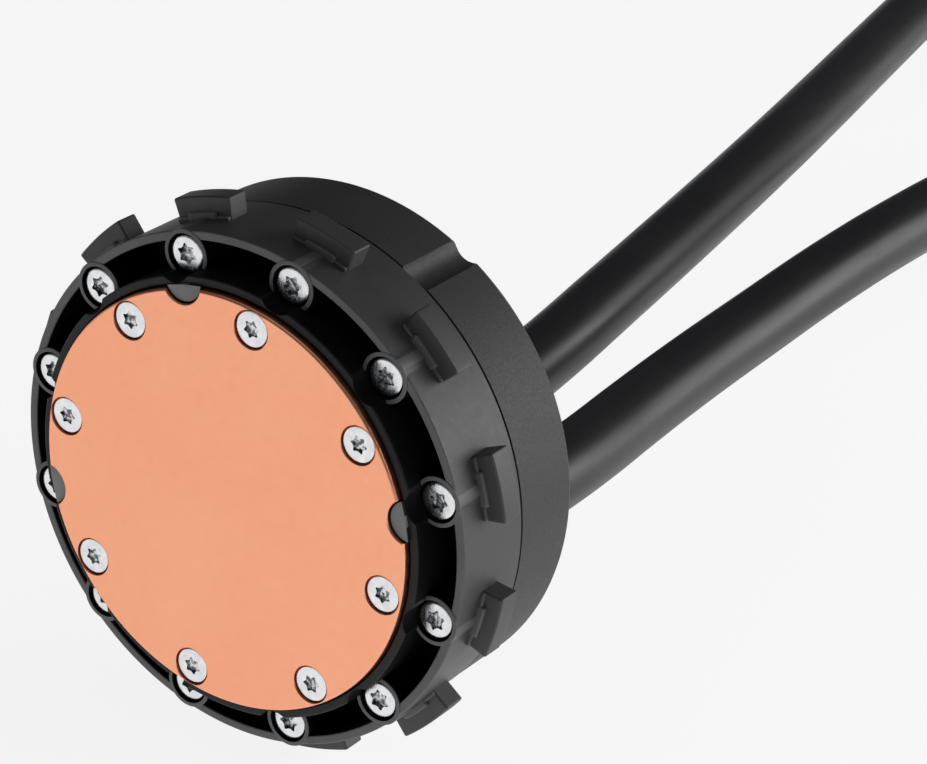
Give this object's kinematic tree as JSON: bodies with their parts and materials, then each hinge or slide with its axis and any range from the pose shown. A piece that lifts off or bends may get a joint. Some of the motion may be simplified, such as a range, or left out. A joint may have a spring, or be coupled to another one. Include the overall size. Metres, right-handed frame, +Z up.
{
  "type": "liquid cooler pump head",
  "caption": "Round liquid-cooling pump head with a copper cold plate ringed by screws, lugs round its rim and two coolant hoses leaving its back.",
  "frame": {"origin": "centre of the cold plate's contact face", "axes": "-Y out of the cold plate towards the processor, +Y back through the pump to the hoses, +Z up as it stands on its lugs"},
  "size_m": [0.0802, 0.4138, 0.0802],
  "materials": {
    "copper_plate": "lapped copper, faintly satin",
    "housing_plastic": "satin black moulded plastic",
    "cover_plastic": "fine matte texture",
    "inner_plastic": "satin",
    "screw_steel": "bright zinc plated",
    "seal_rubber": "matte",
    "hose_rubber": "smooth satin",
    "magnet": "ground ferrite",
    "ceramic": "polished ceramic, opaque",
    "motor_steel": "stacked laminations",
    "winding_copper": "enamelled wire",
    "circuit_board": "solder mask",
    "fitting_metal": "bright plated"
  },
  "bodies": {
    "head": {"base_housing": "housing_plastic", "cable_inlet": "seal_rubber", "circuit_board": "circuit_board", "coil_1": "winding_copper", "coil_2": "winding_copper", "coil_3": "winding_copper", "coil_4": "winding_copper", "cold_plate": "copper_plate", "cover": "cover_plastic", "end_fitting_lower": "fitting_metal", "end_fitting_upper": "fitting_metal", "end_seal_lower": "seal_rubber", "end_seal_upper": "seal_rubber", "end_sleeve_lower": "fitting_metal", "end_sleeve_upper": "fitting_metal", "flange_screw_1": "screw_steel", "flange_screw_10": "screw_steel", "flange_screw_11": "screw_steel", "flange_screw_12": "screw_steel", "flange_screw_2": "screw_steel", "flange_screw_3": "screw_steel", "flange_screw_4": "screw_steel", "flange_screw_5": "screw_steel", "flange_screw_6": "screw_steel", "flange_screw_7": "screw_steel", "flange_screw_8": "screw_steel", "flange_screw_9": "screw_steel", "hose_barb_lower": "fitting_metal", "hose_barb_upper": "fitting_metal", "hose_ferrule_lower": "fitting_metal", "hose_ferrule_upper": "fitting_metal", "hose_lower": "hose_rubber", "hose_upper": "hose_rubber", "lid_gasket": "seal_rubber", "lid_screw_1": "screw_steel", "lid_screw_2": "screw_steel", "lid_screw_3": "screw_steel", "lid_screw_4": "screw_steel", "plate_screw_1": "screw_steel", "plate_screw_2": "screw_steel", "plate_screw_3": "screw_steel", "plate_screw_4": "screw_steel", "plate_screw_5": "screw_steel", "plate_screw_6": "screw_steel", "plate_screw_7": "screw_steel", "plate_screw_8": "screw_steel", "plate_seal": "seal_rubber", "pump_lid": "inner_plastic", "shaft": "ceramic", "stator_core": "motor_steel", "thrust_washer": "ceramic"},
    "rotor": {"impeller": "inner_plastic", "rotor_magnet": "magnet", "rotor_bush": "ceramic"}
  },
  "joints": [
    {"name": "rotor_spin", "type": "hinge", "parent": "head", "child": "rotor", "pos_m": [-0.013, 0.018, 0.009], "axis": [0, 1, 0], "continuous": true}
  ]
}
